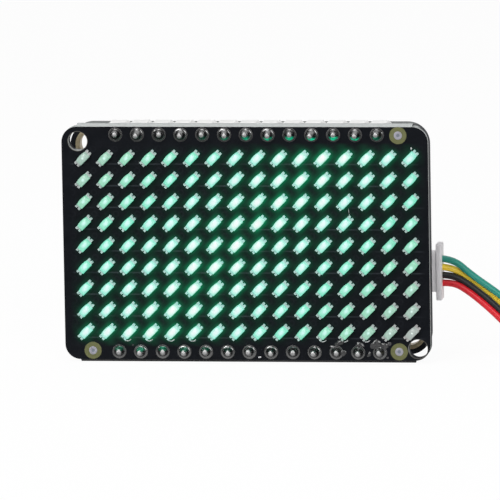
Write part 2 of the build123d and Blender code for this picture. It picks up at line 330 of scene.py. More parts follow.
# Solder mask: a satin black skin with fine grain, and grey laminate where the board is cut.
# The cut is painted darker along the bottom, as shade, and at the right end only its front is pale.
mask_skin, taken, given = new_group(
    "mask skin", [("Dark and shaded cut", "Float")],
    [("Color", "Color"), ("Roughness", "Float"), ("Grain", "Float"), ("Face", "Float")],
)
tree = mask_skin
place = in_millimetres(tree)
spot = parts_of(tree, place)
faces = facing(tree)
on_flat = work_out(tree, "GREATER_THAN", work_out(tree, "ABSOLUTE", faces["Y"]), 0.7)
skin = mix_colour(tree, noise(tree, place, 0.9, 4.0), (0.002, 0.003, 0.005, 1), (0.007, 0.008, 0.011, 1))
layers = add_node(tree, "ShaderNodeVectorMath", {0: place, 1: (1, 7, 1)}, operation="MULTIPLY")
fibre = noise(tree, layers.outputs[0], 2.2)
cut = mix_colour(tree, fibre, (0.30, 0.32, 0.32, 1), (0.55, 0.57, 0.56, 1))
# painted shade: the cut darkens towards the bottom of the boards
cut = mix_colour(tree, ramp_down(tree, spot["Z"], 0.5, 1.6), cut, (0.035, 0.035, 0.036, 1))
to_right = work_out(tree, "MULTIPLY", work_out(tree, "SUBTRACT", faces["X"], 0.25), 4.0, clamp=True)
pale_part = ramp_down(tree, spot["Y"], light_face + 0.445, light_face + 0.845)
dark_end = product(tree, to_right, work_out(tree, "SUBTRACT", 1.0, pale_part))
cut = mix_colour(tree, dark_end, cut, (0.03, 0.032, 0.040, 1))
# the whole cut darkened: partly the laminate's own dark tone, partly painted shade of the gap between the
# boards
cut = mix_colour(tree, taken["Dark and shaded cut"], cut, (0.03, 0.032, 0.034, 1))
tree.links.new(mix_colour(tree, on_flat, cut, skin), given["Color"])
grain = noise(tree, place, 9.0)
satin = graded(tree, grain, 0.0, 1.0, 0.30, 0.48)
rough = add_node(tree, "ShaderNodeMix", {0: on_flat, 2: 0.7, 3: satin}).outputs[0]
tree.links.new(rough, given["Roughness"])
tree.links.new(grain, given["Grain"])
tree.links.new(on_flat, given["Face"])

light_mask, tree, shader = new_finish(
    "light board mask", IOR=1.5, Specular_IOR_Level=0.12, Emission_Strength=1.0
)
skin = use_group(tree, mask_skin, {"Dark and shaded cut": 0.0})
near = use_group(tree, light_places)
place = in_millimetres(tree)
spot = parts_of(tree, place)
from_mid_x = work_out(tree, "SUBTRACT", spot["X"], grid_mid[0])
from_mid_z = work_out(tree, "SUBTRACT", spot["Z"], grid_mid[1])
in_rows = within(tree, from_mid_z, 10.9, 12.0)
in_columns = within(tree, from_mid_x, 19.8, 20.9)
in_grid = product(tree, in_rows, in_columns, skin["Face"])
# traces under each row and a plugged via between the lights
trace_off = 0.73
via_off = (0.1, 1.5)
via_radius = 0.3
trace_z = repeated(tree, work_out(tree, "ADD", from_mid_z, trace_off), pitch)
trace = within(tree, trace_z, 0.05, 0.11)
via_x = repeated(tree, work_out(tree, "ADD", from_mid_x, via_off[0]), pitch)
via_z = repeated(tree, work_out(tree, "ADD", from_mid_z, via_off[1]), pitch)
via = within(tree, work_out(tree, "SUBTRACT", length_of(tree, via_z, via_x), via_radius), 0.05, 0.13)
broken = graded(tree, noise(tree, place, 0.35, 2.0), 0.4, 0.62, 0.0, 1.0)
relief = work_out(tree, "MAXIMUM", product(tree, trace, broken), product(tree, via, 0.15))
relief = product(tree, relief, in_grid)
copper = mix_colour(tree, relief, skin["Color"], (0.022, 0.025, 0.031, 1))
# a bare rim round the two mounting holes
for hole in holes_of("light_board"):
    rim = product(tree, ramp_down(tree, far_from(tree, place, *hole), 1.15, 1.20), skin["Face"])
    copper = mix_colour(tree, rim, copper, (0.10, 0.095, 0.085, 1))
tree.links.new(copper, shader.inputs["Base Color"])
tree.links.new(skin["Roughness"], shader.inputs["Roughness"])
raise_copper(tree, shader, relief, skin["Grain"], 0.35)
# green light from each light on the mask beside it, and from the next line of lights
next_along = work_out(tree, "SUBTRACT", diagonal, work_out(tree, "ABSOLUTE", near["Along"]))
next_across = work_out(tree, "SUBTRACT", diagonal, work_out(tree, "ABSOLUTE", near["Across"]))
own = use_group(tree, spill, {"Along": near["Along"], "Across": near["Across"]})
other = use_group(tree, spill, {"Along": next_along, "Across": next_across})
both = work_out(tree, "ADD", own["Spill"], other["Spill"])
drive = product(tree, work_out(tree, "POWER", near["Level"], 3.0), 1.2)
front = work_out(tree, "LESS_THAN", spot["Y"], light_face + 0.045)
lit = product(tree, both, drive, in_grid, front)
tree.links.new(mix_colour(tree, lit, (0, 0, 0, 1), (0.0, 1.0, 0.38, 1)), shader.inputs["Emission Color"])
dress("light_board", light_mask)


# Alignment marks. Three round windows in the mask that bare the laminate, each with a dished tin dot
# in the middle, by which the machine that placed the lights found the board.
def keep_piece(bm, name, finishes, slot, *nodes):
    """Ends a piece's mesh and fixes it to the module, in place of its plain CAD nodes."""
    for face in bm.faces:
        face.smooth = True
    for edge in bm.edges:
        edge.smooth = len(edge.link_faces) == 2 and edge.calc_face_angle() < radians(40)
    piece = set_down(name, as_mesh(bm, name))
    for finish in finishes:
        piece.data.materials.append(finish)
    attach(piece, "root")
    if nodes:
        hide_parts(*nodes)
    return piece


def on_face(x, y, z):
    """Stands a shape's own Z out to the front, at a place in millimetres."""
    return Matrix.Translation(Vector((x, y, z)) * mm) @ Matrix.Rotation(radians(90), 4, "X")


def add_copy(bm, mesh, place):
    """Adds a copy of a finished shape to a piece, at its place."""
    count = len(bm.verts)
    bm.from_mesh(mesh)
    bm.verts.ensure_lookup_table()
    bmesh.ops.transform(bm, matrix=place, verts=bm.verts[count:])


def thicken(bm, faces, rise):
    """Gives flat faces a thickness, and returns the corners of the new side."""
    grown = bmesh.ops.extrude_face_region(bm, geom=faces, use_keep_orig=True)
    raised = [part for part in grown["geom"] if isinstance(part, bmesh.types.BMVert)]
    bmesh.ops.translate(bm, verts=raised, vec=(0, 0, rise))
    return raised


def turn_profile(bm, profile, steps, closed=False):
    """Turns a profile of radii and heights, in millimetres, once round a shape's own Z."""
    corners = [bm.verts.new((r * mm, 0, h * mm)) for r, h in profile]
    ends = corners[1:] + corners[:1] if closed else corners[1:]
    line = [bm.edges.new(pair) for pair in zip(corners, ends)]
    bmesh.ops.spin(
        bm, geom=corners + line, cent=(0, 0, 0), axis=(0, 0, 1), angle=radians(360), steps=steps,
        use_merge=True,
    )
    bmesh.ops.remove_doubles(bm, verts=bm.verts[:], dist=1e-7)
    bmesh.ops.recalc_face_normals(bm, faces=bm.faces[:])


# Uneven skin: a colour that drifts between two tones, with a roughness and a height that go with it.
uneven_skin, taken, given = new_group(
    "uneven skin",
    [("Scale", "Float"), ("Detail", "Float"), ("Dark", "Color"), ("Light", "Color")]
    + [("Low", "Float"), ("High", "Float")],
    [("Color", "Color"), ("Roughness", "Float"), ("Height", "Float")],
)
tree = uneven_skin
drift = noise(tree, in_millimetres(tree), taken["Scale"], taken["Detail"])
tree.links.new(mix_colour(tree, drift, taken["Dark"], taken["Light"]), given["Color"])
tree.links.new(graded(tree, drift, 0.0, 1.0, taken["Low"], taken["High"]), given["Roughness"])
tree.links.new(drift, given["Height"])


def new_uneven(name, grain, dark, light, low, high=None, bump=None, **sockets):
    """A finish between two tones, and two roughnesses where it has them. Its grain is scale and detail."""
    finish, tree, shader = new_finish(name, Roughness=low, **sockets)
    inputs = {"Scale": grain[0], "Detail": grain[1], "Dark": (*dark, 1), "Light": (*light, 1)}
    skin = use_group(tree, uneven_skin, {**inputs, "Low": low, "High": high or low})
    tree.links.new(skin["Color"], shader.inputs["Base Color"])
    if high:
        tree.links.new(skin["Roughness"], shader.inputs["Roughness"])
    if bump:
        bumped(tree, shader, skin["Height"], bump, 0.04 * mm)
    return finish


bare_laminate = new_uneven("bare laminate", (5.0, 3.0), (0.085, 0.090, 0.028), (0.150, 0.155, 0.055), 0.5)
dot_rim = new_uneven(
    "dot rim", (4.0, 3.0), (0.24, 0.24, 0.28), (0.42, 0.41, 0.47), 0.35, 0.55, Metallic=0.3
)
# The middle of each dot is a darker copy of its tin: painted shade in the dish.
shaded_dot_middle = new_uneven(
    "shaded dot middle", (4.0, 3.0), (0.13, 0.15, 0.18), (0.26, 0.28, 0.33), 0.3, 0.5, Metallic=0.3
)
window_radius = 1.0 * mm
dot_reach = 0.5 * mm
dish_reach = 0.25 * mm
one_mark = bmesh.new()
bmesh.ops.create_circle(one_mark, cap_ends=True, segments=36, radius=window_radius)
thicken(one_mark, one_mark.faces[:], 0.015 * mm)
dot_profile = ((0, 0), (0.48, 0), (0.48, 0.035), (0.43, 0.05), (0.27, 0.05), (0.20, 0.035), (0, 0.03))
turn_profile(one_mark, dot_profile, 24)
for face in one_mark.faces:
    reach = max(Vector(vert.co[:2]).length for vert in face.verts)
    if reach < dot_reach:
        face.material_index = 1 if reach > dish_reach else 2
mark_mesh = as_mesh(one_mark, "one mark")
marks = bmesh.new()
for x, z in ((17.90, 26.56), (-18.11, 1.34), (17.70, 1.34)):
    add_copy(marks, mark_mesh, on_face(x, light_face, z))
keep_piece(marks, "alignment_marks", [bare_laminate, dot_rim, shaded_dot_middle], "solder")


# Lights. Each is a small board with a tinned, notched end on each side and a clear resin block moulded on.
# They are soldered on at 45 degrees, and a few were put on the other way round, which moves the resin.
def opened(finish):
    """A finish's nodes and its shader."""
    return finish.node_tree, finish.node_tree.nodes["Principled BSDF"]


def light_ramp(tree, level, stops):
    """Colours of a light from undriven to full."""
    ramp = add_node(tree, "ShaderNodeValToRGB", {0: level})
    elements = ramp.color_ramp.elements
    while len(elements) < len(stops):
        elements.new(0.5)
    for element, (at, colour) in zip(elements, stops):
        element.position = at
        element.color = (*colour, 1)
    return ramp.outputs[0]


def down_from(tree, off, level, gain, least):
    """How far down the glow is one way from the middle: the higher the level, the further it reaches."""
    reach = work_out(tree, "MULTIPLY_ADD", level, gain, least)
    return work_out(tree, "POWER", work_out(tree, "DIVIDE", off, reach), 2.0)


def all_of(bm):
    """Everything in a shape."""
    return bm.verts[:] + bm.edges[:] + bm.faces[:]


def light_spot(row, column):
    """Where a light is, across and up, in millimetres. Rows count from the top and columns from the left."""
    x = grid_mid[0] + (column - (columns - 1) / 2) * pitch
    return x, grid_mid[1] + ((rows - 1) / 2 - row) * pitch


def cut_ends(bm, half):
    """Cuts a shape's faces across, at that distance from its middle on both sides."""
    for end in (-half, half):
        bmesh.ops.bisect_plane(bm, geom=all_of(bm), plane_co=(end, 0, 0), plane_no=(1, 0, 0))


lens = new_uneven(
    "lit resin", (4.0, 2.0), (0.14, 0.16, 0.15), (0.25, 0.27, 0.26), 0.28, IOR=1.5, Emission_Strength=1.0
)
tree, shader = opened(lens)
near = use_group(tree, light_places)
side_light = light_ramp(tree, near["Level"], (
    (0.0, (0.19, 0.22, 0.21)), (0.25, (0.11, 0.46, 0.28)), (0.5, (0.05, 0.59, 0.38)),
    (0.75, (0.15, 0.63, 0.50)), (1.0, (0.18, 0.66, 0.50)),
))
core_light = light_ramp(tree, near["Level"], (
    (0.0, (0.60, 0.70, 0.65)), (0.2, (0.37, 0.70, 0.61)), (0.5, (0.41, 0.71, 0.69)),
    (0.75, (0.56, 0.70, 0.70)), (1.0, (0.70, 0.72, 0.72)),
))
down_along = down_from(tree, near["Along"], near["Level"], 0.56, 0.10)
down_across = down_from(tree, near["Across"], near["Level"], 0.3, 0.12)
down = work_out(tree, "POWER", work_out(tree, "ADD", down_along, down_across), 1.4)
core = work_out(tree, "EXPONENT", work_out(tree, "MULTIPLY", down, -1.0))
tree.links.new(mix_colour(tree, core, side_light, core_light), shader.inputs["Emission Color"])

light_end = new_uneven(
    "light end tin", (6.0, 3.0), (0.28, 0.28, 0.28), (0.56, 0.55, 0.55), 0.35, 0.6,
    Metallic=0.3, Emission_Strength=1.0,
)
tree, shader = opened(light_end)
near = use_group(tree, light_places)
# painted light: a green glow from the lens on the tinned ends, stronger the more the light is driven
painted_end_glow = mix_colour(tree, near["Level"], (0, 0, 0, 1), (0.0, 0.30, 0.24, 1))
tree.links.new(painted_end_glow, shader.inputs["Emission Color"])
light_base = new_uneven("light base", (8.0, 2.0), (0.38, 0.42, 0.38), (0.55, 0.60, 0.55), 0.55)

base_thick = 0.25 * mm
end_from = 0.74 * mm
half_base = (
    (0, -0.36), (1.05, -0.36), (1.10, -0.33), (1.10, -0.08), (0.95, -0.06), (0.92, 0), (0.95, 0.06),
    (1.10, 0.08), (1.10, 0.33), (1.05, 0.36), (0, 0.36),
)
one_light = bmesh.new()
under = one_light.faces.new([one_light.verts.new((a * mm, c * mm, 0)) for a, c in half_base])
thicken(one_light, [under], base_thick)
inner = [face for face in one_light.faces if all(abs(vert.co.x) < 1e-7 for vert in face.verts)]
bmesh.ops.delete(one_light, geom=inner, context="FACES_ONLY")
bmesh.ops.mirror(one_light, geom=all_of(one_light), axis="X", merge_dist=1e-7)
cut_ends(one_light, end_from)
bmesh.ops.recalc_face_normals(one_light, faces=one_light.faces[:])
for face in one_light.faces:
    face.material_index = 1 if abs(face.calc_center_median().x) > end_from else 2

lens_long = 1.50 * mm
lens_wide = 0.80 * mm
lens_tall = 0.35 * mm
lens_bow = 0.11 * mm
lens_at = Vector((-0.02 * mm, -0.05 * mm, base_thick))
lens_draft = (0.9, 0.88, 1)
lens_edge = 0.07 * mm
light_shift = -0.03 * mm
block = bmesh.ops.create_grid(one_light, x_segments=4, y_segments=1, size=0.5)["verts"]
bmesh.ops.scale(one_light, verts=block, vec=(lens_long, lens_wide, 1))
for vert in block:
    if vert.co.y > 0:
        vert.co.y += lens_bow * (1 - (vert.co.x / (lens_long / 2)) ** 2)
bmesh.ops.translate(one_light, verts=block, vec=lens_at)
foot = [face for face in one_light.faces if all(vert in block for vert in face.verts)]
top = thicken(one_light, foot, lens_tall)
about_lens = Matrix.Translation((-lens_at.x, -lens_at.y, 0))
bmesh.ops.scale(one_light, verts=top, vec=lens_draft, space=about_lens)
bmesh.ops.recalc_face_normals(one_light, faces=one_light.faces[:])
rim = [edge for edge in one_light.edges if all(vert in top for vert in edge.verts)]
rim = [edge for edge in rim if edge.calc_face_angle() > radians(20)]
bmesh.ops.bevel(
    one_light, geom=rim, offset=lens_edge, affect="EDGES", segments=1, profile=0.5, material=-1
)
bmesh.ops.translate(one_light, verts=one_light.verts[:], vec=(light_shift, 0, 0))
light_mesh = as_mesh(one_light, "one light")

turned_round = {(0, 15), (1, 7), (1, 15), (2, 8), (2, 14), (2, 15), (3, 8), (3, 14), (4, 14), (5, 15)}
leaning = (Matrix(((1, -1, 0), (0, 0, -sqrt(2)), (1, 1, 0))) * (1 / sqrt(2))).to_4x4()
half_turn = Matrix.Rotation(radians(180), 4, "Z")
for row in range(rows):
    lights = bmesh.new()
    for column in range(columns):
        x, z = light_spot(row, column)
        turn = leaning @ half_turn if (row, column) in turned_round else leaning
        add_copy(lights, light_mesh, Matrix.Translation(Vector((x, light_face, z)) * mm) @ turn)
    finishes = [lens, light_end, light_base]
    keep_piece(lights, f"lights_row_{row + 1}", finishes, "light", f"light_row_{row + 1}")


# Solder joints. A thin tinned ring on the board, and solder that climbs the cut end of each header pin.
# They were made by hand, so each stands a little differently.
def new_tin(name, scale, bump, dark, light):
    """A bright tinned finish, with how coarse and how deep its unevenness is and its two greys."""
    return new_uneven(name, (scale, 3.0), [dark] * 3, [light] * 3, 0.14, 0.34, bump, Metallic=1.0)


bright_solder = new_tin("bright solder", 1.6, 0.35, 0.34, 0.58)
# The front joints' solder is a darker copy of the back joints' solder: painted shade, with painted green
# light added below.
lit_and_shaded_solder = new_tin("lit and shaded solder", 1.6, 0.35, 0.16, 0.34)
tree, shader = opened(lit_and_shaded_solder)
shader.inputs["Emission Strength"].default_value = 1.0
near = use_group(tree, light_places)
place = in_millimetres(tree)
spot = parts_of(tree, place)
# green light on the sides that face the lights, most of all along the top row
to_lights = work_out(tree, "SIGN", work_out(tree, "SUBTRACT", grid_mid[1], spot["Z"]))
turned_to = product(tree, facing(tree)["Z"], to_lights)
caught = work_out(tree, "MULTIPLY", work_out(tree, "SUBTRACT", turned_to, 0.25), 1.3, clamp=True)
drive = work_out(tree, "POWER", near["Level"], 2.5)
in_top_row = work_out(tree, "LESS_THAN", to_lights, 0.0)
nearer = work_out(tree, "MULTIPLY_ADD", in_top_row, 0.82, 0.28)
lit_x = work_out(tree, "MULTIPLY_ADD", to_lights, -9.0, -4.0)
by_lit = within(tree, work_out(tree, "SUBTRACT", spot["X"], lit_x), 5.0, 13.0)
glints = graded(tree, noise(tree, place, 3.2, 2.0), 0.35, 0.68, 0.25, 2.2)
caught = product(tree, caught, drive, nearer, by_lit, glints)
tree.links.new(mix_colour(tree, caught, (0, 0, 0, 1), (0.0, 0.55, 0.28, 1)), shader.inputs["Emission Color"])
cut_pin = new_uneven(
    "cut pin end", (6.0, 3.0), (0.38, 0.38, 0.38), (0.70, 0.70, 0.70), 0.45, 0.75, Metallic=1.0
)
# The outer lip of each pad is painted near black on its tin: painted shade.
shaded_pad_rim = new_uneven(
    "shaded pad rim", (5.0, 2.0), (0.03, 0.03, 0.03), (0.12, 0.12, 0.12), 0.35, 0.6, Metallic=0.5
)

driver_low, driver_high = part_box("driver_board")
driver_front = driver_low.y / mm
driver_back = driver_high.y / mm
pins_in_row = 13
pin_spots = [grid_mid[0] + (k - (pins_in_row - 1) / 2) * pitch for k in range(pins_in_row)]
pin_rows = {"top": boards_mid + 5 * pitch, "bottom": boards_mid - 5 * pitch}
joint_profile = (
    (0, 0), (0.84, 0), (0.84, 0.025), (0.815, 0.05), (0.78, 0.055), (0.66, 0.06), (0.60, 0.12),
    (0.51, 0.30), (0.42, 0.55), (0.34, 0.82), (0.26, 0.92), (0.14, 0.97), (0, 0.98),
)
pin_cut_from = 0.9 * mm
pad_rim_from = 0.78 * mm
one_joint = bmesh.new()
turn_profile(one_joint, joint_profile, 16)
for face in one_joint.faces:
    middle = face.calc_center_median()
    if middle.z > pin_cut_from:
        face.material_index = 1
    elif Vector(middle[:2]).length > pad_rim_from:
        face.material_index = 2
joint_mesh = as_mesh(one_joint, "one joint")
for side, face_y, about, joint_skin in (
    ("front", light_face, 90, lit_and_shaded_solder), ("back", driver_back, -90, bright_solder),
):
    outward = Matrix.Rotation(radians(about), 4, "X")
    for height, z in pin_rows.items():
        joints = bmesh.new()
        for k, x in enumerate(pin_spots):
            lean = Matrix.Identity(4)
            lean[0][2] = 0.13 * cos(2.3 * k + z)
            lean[1][2] = 0.09 * sin(3.1 * k + z)
            size = Matrix.Diagonal((1, 1, 0.9 + 0.08 * sin(5.7 * k + z), 1))
            place = Matrix.Translation(Vector((x, face_y, z)) * mm) @ outward
            add_copy(joints, joint_mesh, place @ lean @ size)
        finishes = [joint_skin, cut_pin, shaded_pad_rim]
        keep_piece(joints, f"{side}_joints_{height}", finishes, "solder", f"{side}_solder_{height}")


# Flux. Resin that the soldering left to dry on the light board: thin rims of it under the lowest lights,
# painted white as highlights on its edges, and dark glossy crumbs round the last pins.
def laid_flat(x, z, wide, tall, thick, turn):
    """Lays a round shape of radius 1 on the light board, with its half sizes in millimetres."""
    size = Matrix.Diagonal((wide * mm, tall * mm, thick * mm, 1))
    return on_face(x, light_face, z) @ Matrix.Rotation(radians(turn), 4, "Z") @ size


flux = new_uneven(
    "flux residue", (4.0, 4.0), (0.008, 0.008, 0.010), (0.075, 0.073, 0.074), 0.1, 0.35,
    IOR=1.5, Coat_Weight=0.6,
)
# painted highlight: the thin rims are white where the clear resin's edges catch the light
flux_rim_highlight = new_uneven("flux rim highlight", (7.0, 2.0), (0.45, 0.46, 0.47), (0.85, 0.86, 0.87), 0.25)
rim_radius = 0.5 * mm
rim_bead = 0.05 * mm
rim_off = (-0.30, -0.62)
one_rim = bmesh.new()
bead = bmesh.ops.create_circle(one_rim, cap_ends=False, segments=4, radius=rim_bead)["verts"]
bmesh.ops.rotate(one_rim, verts=bead, cent=(0, 0, 0), matrix=Matrix.Rotation(radians(90), 3, "X"))
bmesh.ops.translate(one_rim, verts=bead, vec=(rim_radius, 0, 0))
bmesh.ops.spin(
    one_rim, geom=bead + one_rim.edges[:], cent=(0, 0, 0), axis=(0, 0, 1), angle=radians(115), steps=9
)
bmesh.ops.holes_fill(one_rim, edges=[edge for edge in one_rim.edges if edge.is_boundary], sides=4)
bmesh.ops.recalc_face_normals(one_rim, faces=one_rim.faces[:])
for face in one_rim.faces:
    face.material_index = 1
rim_mesh = as_mesh(one_rim, "one rim")
residue = bmesh.new()
rim_start = Matrix.Rotation(radians(210), 4, "Z")
for column in (2, 3, 4, 5, 11, 12, 13):
    x, z = light_spot(rows - 1, column)
    add_copy(residue, rim_mesh, on_face(x + rim_off[0], light_face, z + rim_off[1]) @ rim_start)
crumb_thick = 0.14
for k, (x, z, wide, tall, turn) in enumerate((
    (10.7, 2.35, 0.55, 0.35, 20), (10.2, 1.75, 0.35, 0.5, 70), (13.2, 2.1, 0.5, 0.3, -10),
    (14.9, 2.2, 0.6, 0.4, 35), (15.9, 2.0, 0.55, 0.4, -25), (16.6, 2.3, 0.35, 0.22, 10),
    (11.2, 1.2, 0.3, 0.45, 15), (15.6, 0.75, 0.3, 0.2, 50), (9.1, 3.1, 0.25, 0.35, 0),
    (14.2, 1.0, 0.22, 0.3, -30), (-13.4, 2.0, 0.14, 0.1, 0), (16.3, 0.65, 0.2, 0.14, 5),
)):
    crumb = bmesh.ops.create_icosphere(residue, subdivisions=2, radius=1.0)["verts"]
    for vert in crumb:
        vert.co *= 1 + 0.22 * sin(3.1 * vert.co.x + 1.7 * k) + 0.16 * cos(4.3 * vert.co.y + k)
    bmesh.ops.transform(residue, matrix=laid_flat(x, z, wide, tall, crumb_thick, turn), verts=crumb)
keep_piece(residue, "flux_residue", [flux, flux_rim_highlight], "solder")

# Dust. Specks that settled on the light board after it was made: a white fleck near the top right corner,
# a fine hair among the lights and a chip on the lower edge.
dust_white = new_uneven("dust", (12.0, 2.0), (0.35, 0.35, 0.36), (0.8, 0.8, 0.8), 0.8)
dust_thick = 0.06
dust = bmesh.new()
for x, z, wide, tall, turn in (
    (19.42, 25.06, 0.09, 0.17, 0), (12.06, 17.75, 0.03, 0.38, 8), (12.16, 17.30, 0.03, 0.2, 20),
    (1.43, 0.62, 0.22, 0.12, 0),
):
    speck = bmesh.ops.create_icosphere(dust, subdivisions=1, radius=1.0)["verts"]
    bmesh.ops.transform(dust, matrix=laid_flat(x, z, wide, tall, dust_thick, turn), verts=speck)
keep_piece(dust, "dust_flecks", [dust_white], "header_plastic")

# Header strips. Moulded plastic bars between the boards, notched where they are snapped to length,
# with a square tinned pin through each division.
moulding, taken, given = new_group(
    "moulding",
    [("Dark", "Color"), ("Light", "Color"), ("Low", "Float"), ("High", "Float")],
    [("Color", "Color"), ("Roughness", "Float"), ("Height", "Float")],
)
tree = moulding
place = in_millimetres(tree)
flow = noise(tree, place, 0.7)
pore = noise(tree, place, 14.0)
tone = work_out(tree, "MULTIPLY_ADD", pore, 0.4, work_out(tree, "MULTIPLY", flow, 0.6))
tree.links.new(mix_colour(tree, tone, taken["Dark"], taken["Light"]), given["Color"])
tree.links.new(graded(tree, pore, 0.0, 1.0, taken["Low"], taken["High"]), given["Roughness"])
tree.links.new(pore, given["Height"])


def new_moulding(name, dark, light, low, high, bump):
    """A moulded plastic between two tones and two roughnesses, with a fine grain."""
    plastic, tree, shader = new_finish(name)
    inputs = {"Dark": (*dark, 1), "Light": (*light, 1), "Low": low, "High": high}
    grain = use_group(tree, moulding, inputs)
    tree.links.new(grain["Color"], shader.inputs["Base Color"])
    tree.links.new(grain["Roughness"], shader.inputs["Roughness"])
    bumped(tree, shader, grain["Height"], bump, 0.03 * mm)
    return plastic


def round_edges(node, width):
    """Breaks the sharp edges of a CAD node."""
    piece = frame["nodes"][node]
    weld = piece.modifiers.new("weld", "WELD")
    weld.merge_threshold = 1e-6
    bevel = piece.modifiers.new("edges", "BEVEL")
    bevel.width = width * mm
    bevel.segments = 2
    bevel.limit_method = "ANGLE"
    bevel.angle_limit = radians(40)


strip_plastic = new_moulding("strip plastic", (0.72, 0.72, 0.71), (0.88, 0.88, 0.87), 0.38, 0.58, 0.2)
pin_tin = new_tin("pin tin", 4.0, 0.15, 0.34, 0.58)
for height in pin_rows:
    dress(f"header_strip_{height}", strip_plastic)
    round_edges(f"header_strip_{height}", 0.08)
    dress(f"header_pins_{height}", pin_tin)

# Driver board. A second board of the same black mask behind the strips, cut with rounded corners,
# with copper running from the chip out to the pins on its back.
driver_mask, tree, shader = new_finish("driver board mask", IOR=1.5, Specular_IOR_Level=0.2)
# the driver board's cut is darkened: partly its own dark laminate, partly painted shade of the gap behind
# the light board
skin = use_group(tree, mask_skin, {"Dark and shaded cut": 0.65})
spot = parts_of(tree, in_millimetres(tree))
from_mid_x = work_out(tree, "SUBTRACT", spot["X"], grid_mid[0])
from_mid_z = work_out(tree, "SUBTRACT", spot["Z"], boards_mid)
row_lane = 0.9
out_lane = within(tree, repeated(tree, from_mid_x, pitch), 0.10, 0.17)
outer = graded(tree, work_out(tree, "ABSOLUTE", from_mid_z), 6.0, 6.2, 0.0, 1.0)
in_lane = within(tree, repeated(tree, from_mid_z, row_lane), 0.09, 0.15)
inner = within(tree, from_mid_z, 5.9, 6.1)
beside = within(tree, from_mid_x, 15.0, 15.4)
tracks = work_out(tree, "ADD", product(tree, out_lane, outer), product(tree, in_lane, inner))
tracks = product(tree, tracks, beside, skin["Face"])
copper = mix_colour(tree, tracks, skin["Color"], (0.034, 0.038, 0.044, 1))
tree.links.new(copper, shader.inputs["Base Color"])
tree.links.new(skin["Roughness"], shader.inputs["Roughness"])
raise_copper(tree, shader, tracks, skin["Grain"], 0.4)
dress("driver_board", driver_mask)

# Hole rings. Bare copper round the driver board's two mounting holes, plated through from face to face
# and washed with gold, which keeps it from tarnishing.
gilt = new_uneven(
    "gilt ring", (3.0, 3.0), (0.36, 0.29, 0.17), (0.56, 0.48, 0.32), 0.35, 0.55, Metallic=0.35
)
ring_out = 1.95
ring_in = 1.46
hole_wall = 1.5
ring_thick = 0.03
through = driver_back - driver_front
ring_section = (
    (ring_in, ring_thick), (ring_out, ring_thick), (ring_out, 0), (hole_wall, -0.02),
    (hole_wall, 0.02 - through), (ring_out, -through), (ring_out, -through - ring_thick),
    (ring_in, -through - ring_thick),
)
one_ring = bmesh.new()
turn_profile(one_ring, ring_section, 32, closed=True)
ring_mesh = as_mesh(one_ring, "one ring")
rings = bmesh.new()
for x, z in holes_of("driver_board"):
    add_copy(rings, ring_mesh, on_face(x, driver_front, z))
keep_piece(rings, "hole_rings", [gilt], "contact_metal")

# Driver chip. A square of moulded black epoxy, with a dimple in the corner of its first lead.
# It sits on the back of the driver board, on short soldered leads.
epoxy, tree, shader = new_finish("chip epoxy", IOR=1.5)
grain = use_group(tree, moulding, {
    "Dark": (0.012, 0.012, 0.013, 1), "Light": (0.036, 0.036, 0.038, 1), "Low": 0.45, "High": 0.7,
})
dimple_off = 1.35
from_dimple = far_from(tree, in_millimetres(tree), dimple_off, boards_mid + dimple_off)
dimple = ramp_down(tree, from_dimple, 0.26, 0.32)
marked = mix_colour(tree, dimple, grain["Color"], (0.06, 0.06, 0.062, 1))
tree.links.new(marked, shader.inputs["Base Color"])
tree.links.new(grain["Roughness"], shader.inputs["Roughness"])
sunk = work_out(tree, "SUBTRACT", work_out(tree, "MULTIPLY", grain["Height"], 0.3), dimple)
bumped(tree, shader, sunk, 0.6, 0.05 * mm)
dress("driver_chip", epoxy)
round_edges("driver_chip", 0.08)
dress("driver_chip_leads", bright_solder)

# Capacitors and resistors. Small fired ceramic blocks with tinned ends, on both sides of the chip.
# Each end stands on the driver board in a fillet of solder.
ceramic = new_moulding("capacitor ceramic", (0.33, 0.22, 0.13), (0.50, 0.37, 0.25), 0.35, 0.55, 0.15)
glaze = new_moulding("resistor glaze", (0.016, 0.016, 0.018), (0.05, 0.05, 0.055), 0.18, 0.34, 0.1)
block_long = 1.6 * mm
block_wide = 0.8 * mm
block_end_from = 0.52 * mm
block_step = 1.8
fillet_wide = 0.76 * mm
for name, x, block_count, tall, body in (
    ("capacitors", -6.0, 3, 0.8, ceramic), ("resistors", 6.0, 4, 0.45, glaze),
):
    one_block = bmesh.new()
    block_size = Matrix.Diagonal((block_long, tall * mm, block_wide, 1))
    bmesh.ops.create_cube(one_block, size=1.0, matrix=block_size)
    cut_ends(one_block, block_end_from)
    for face in one_block.faces:
        face.material_index = 1 if abs(face.calc_center_median().x) > block_end_from else 0
    sharp = [edge for edge in one_block.edges if edge.calc_face_angle() > 1]
    bmesh.ops.bevel(
        one_block, geom=sharp, offset=0.06 * mm, affect="EDGES", segments=2, profile=0.5, material=-1
    )
    bmesh.ops.translate(one_block, verts=one_block.verts[:], vec=(0, tall / 2 * mm, 0))
    rise = 0.6 * tall
    for way in (-1, 1):
        wedge = ((0.74, 0), (1.08, 0), (0.90, 0.3 * rise), (0.74, rise))
        cross = [one_block.verts.new((way * a * mm, h * mm, -fillet_wide / 2)) for a, h in wedge]
        far = thicken(one_block, [one_block.faces.new(cross)], fillet_wide)
        for vert in cross + far:
            for face in vert.link_faces:
                face.material_index = 1
    bmesh.ops.recalc_face_normals(one_block, faces=one_block.faces[:])
    block_mesh = as_mesh(one_block, name[:-1])
    blocks = bmesh.new()
    for k in range(block_count):
        z = boards_mid + (k - (block_count - 1) / 2) * block_step
        add_copy(blocks, block_mesh, Matrix.Translation(Vector((x, driver_back, z)) * mm))
    keep_piece(blocks, f"{name}_soldered", [body, bright_solder], name[:-1], name)

